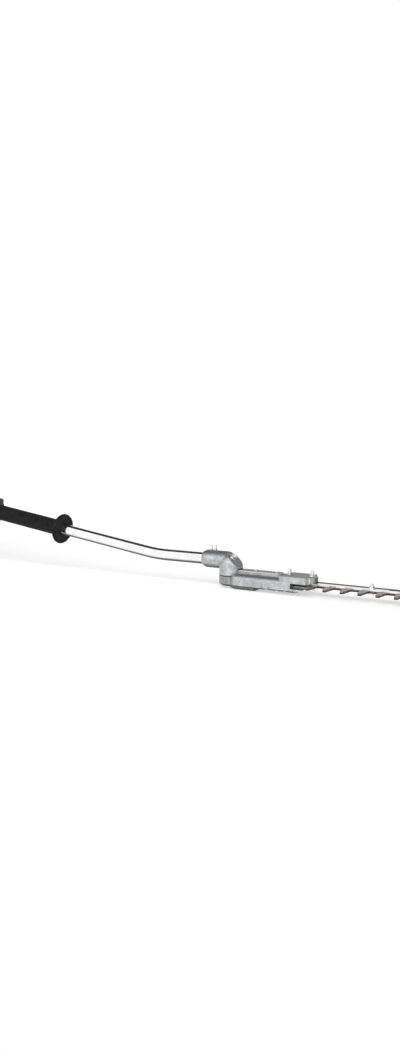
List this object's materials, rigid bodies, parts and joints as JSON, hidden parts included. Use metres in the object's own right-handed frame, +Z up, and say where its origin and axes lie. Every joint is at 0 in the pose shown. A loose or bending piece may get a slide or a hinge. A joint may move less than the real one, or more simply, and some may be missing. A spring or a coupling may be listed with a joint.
{
  "type": "hedge trimmer",
  "caption": "Engine-driven hedge trimmer with a bent drive tube, cast gear case and a long single-sided reciprocating blade.",
  "frame": {"origin": "centre of the machine's footprint box on the ground", "axes": "+X along the machine towards the blade tip, +Z up, cutting teeth face -Y"},
  "size_m": [1.7405, 0.184, 0.3099],
  "materials": {
    "bright_steel": "bright polished plating",
    "cast_alloy": "satin cast light alloy",
    "blade_steel": "ground tool steel",
    "dark_steel": "oiled steel",
    "grip_foam": "matte foam rubber",
    "black_plastic": "textured moulded plastic",
    "black_rubber": "satin rubber",
    "red_plastic": "satin moulded plastic",
    "pale_plastic": "translucent moulded plastic",
    "clear_rubber": "soft translucent rubber",
    "white_ceramic": "glazed",
    "filter_foam": "pleated filter felt"
  },
  "bodies": {
    "machine": {"main_tube": "bright_steel", "shaft_liner": "pale_plastic", "flex_core": "dark_steel", "front_grip": "grip_foam", "gear_case_upper": "cast_alloy", "gear_case_lower": "cast_alloy", "case_screws": "dark_steel", "short_screws": "bright_steel", "grease_plug": "bright_steel", "gear_bearings": "dark_steel", "cam_bearings": "dark_steel", "cam_cover": "bright_steel", "guide_bar": "bright_steel", "blade_bolts": "dark_steel", "hex_nuts": "bright_steel", "bar_studs": "dark_steel", "nose_plate": "bright_steel", "handle_left": "black_plastic", "handle_right": "black_plastic", "handle_screws": "dark_steel", "throttle_cable": "black_rubber", "clutch_housing": "cast_alloy", "fan_housing": "black_plastic", "ignition_coil": "black_plastic", "crankcase_front": "cast_alloy", "crankcase_rear": "cast_alloy", "engine_bearings": "dark_steel", "engine_cylinder": "cast_alloy", "spark_plug": "white_ceramic", "plug_boot": "black_rubber", "muffler": "dark_steel", "carburettor": "cast_alloy", "fuel_hose": "black_rubber", "air_filter": "filter_foam", "filter_cover": "black_plastic", "engine_cover": "black_plastic", "starter_housing": "black_plastic", "fuel_tank": "pale_plastic", "stand": "black_plastic"},
    "pinion": {"bevel_pinion": "dark_steel"},
    "counter": {"bevel_gear": "dark_steel", "counter_shaft": "dark_steel"},
    "cam": {"cam_gear": "dark_steel"},
    "cutter_upper": {"upper_blade": "blade_steel"},
    "cutter_lower": {"lower_blade": "blade_steel"},
    "drum": {"clutch_drum": "dark_steel"},
    "crank": {"crankshaft": "dark_steel", "flywheel": "cast_alloy", "clutch_shoes": "dark_steel"},
    "pulley": {"starter_pulley": "pale_plastic"},
    "pull_handle": {"starter_grip": "black_plastic"},
    "piston_group": {"piston": "cast_alloy", "connecting_rod": "dark_steel", "wrist_pin": "dark_steel"},
    "trigger": {"throttle_trigger": "black_plastic"},
    "lockout": {"trigger_lockout": "black_plastic"},
    "switch": {"stop_switch": "red_plastic"},
    "choke": {"choke_lever": "red_plastic"},
    "primer": {"primer_bulb": "clear_rubber"},
    "cap": {"fuel_cap": "black_plastic"}
  },
  "joints": [
    {"name": "drum_spin", "type": "hinge", "parent": "machine", "child": "drum", "pos_m": [-0.70895, -0.006, 0.1568], "axis": [0.9893, 0, -0.1461], "continuous": true},
    {"name": "pinion_spin", "type": "hinge", "parent": "machine", "child": "pinion", "pos_m": [0.16125, -0.006, 0.056], "axis": [1, 0, 0], "continuous": true},
    {"name": "counter_spin", "type": "hinge", "parent": "machine", "child": "counter", "pos_m": [0.15675, -0.006, 0.04], "axis": [0, 0, 1], "continuous": true},
    {"name": "cam_spin", "type": "hinge", "parent": "machine", "child": "cam", "pos_m": [0.19275, -0.006, 0.02], "axis": [0, 0, 1], "continuous": true},
    {"name": "crank_spin", "type": "hinge", "parent": "machine", "child": "crank", "pos_m": [-0.79402, -0.006, 0.16936], "axis": [0.9893, 0, -0.1461], "continuous": true},
    {"name": "upper_blade_slide", "type": "slide", "parent": "machine", "child": "cutter_upper", "axis": [1, 0, 0], "range_m": [-0.007, 0.007]},
    {"name": "lower_blade_slide", "type": "slide", "parent": "machine", "child": "cutter_lower", "axis": [1, 0, 0], "range_m": [-0.007, 0.007]},
    {"name": "piston_slide", "type": "slide", "parent": "machine", "child": "piston_group", "axis": [0.1461, 0, 0.9893], "range_m": [-0.028, 0]},
    {"name": "pulley_spin", "type": "hinge", "parent": "machine", "child": "pulley", "pos_m": [-0.84547, -0.006, 0.17696], "axis": [0.9893, 0, -0.1461], "range_deg": [0, 1080], "stiffness_Nm_per_rad": 0.01, "springref_deg": -114.59},
    {"name": "pull_handle_slide", "type": "slide", "parent": "machine", "child": "pull_handle", "axis": [0.1461, 0, 0.9893], "range_m": [0, 0.5]},
    {"name": "trigger_pivot", "type": "hinge", "parent": "machine", "child": "trigger", "pos_m": [-0.59487, -0.006, 0.12155], "axis": [0, -1, 0], "range_deg": [0, 12], "stiffness_Nm_per_rad": 0.3, "springref_deg": -11.46},
    {"name": "lockout_pivot", "type": "hinge", "parent": "machine", "child": "lockout", "pos_m": [-0.62121, -0.006, 0.16224], "axis": [0, 1, 0], "range_deg": [0, 7], "stiffness_Nm_per_rad": 0.3, "springref_deg": -11.46},
    {"name": "switch_slide", "type": "slide", "parent": "machine", "child": "switch", "axis": [0.9893, 0, -0.1461], "range_m": [-0.002, 0.002]},
    {"name": "choke_pivot", "type": "hinge", "parent": "machine", "child": "choke", "pos_m": [-0.74877, 0.056, 0.22939], "axis": [-0.9893, 0, 0.1461], "range_deg": [0, 75]},
    {"name": "primer_press", "type": "slide", "parent": "machine", "child": "primer", "axis": [0.1461, 0, 0.9893], "range_m": [0, 0.004], "stiffness_N_per_m": 400, "springref_m": -0.001},
    {"name": "cap_turn", "type": "hinge", "parent": "machine", "child": "cap", "pos_m": [-0.77164, 0.044, 0.08822], "axis": [0, 1, 0], "range_deg": [0, 720]}
  ],
  "couplings": [
    {"joint": "pinion_spin", "follows": "drum_spin", "ratio": 1},
    {"joint": "counter_spin", "follows": "drum_spin", "ratio": -0.57143},
    {"joint": "cam_spin", "follows": "drum_spin", "ratio": 0.32298},
    {"joint": "lower_blade_slide", "follows": "upper_blade_slide", "ratio": -1},
    {"joint": "pull_handle_slide", "follows": "pulley_spin", "m_per_rad": 0.0265}
  ]
}
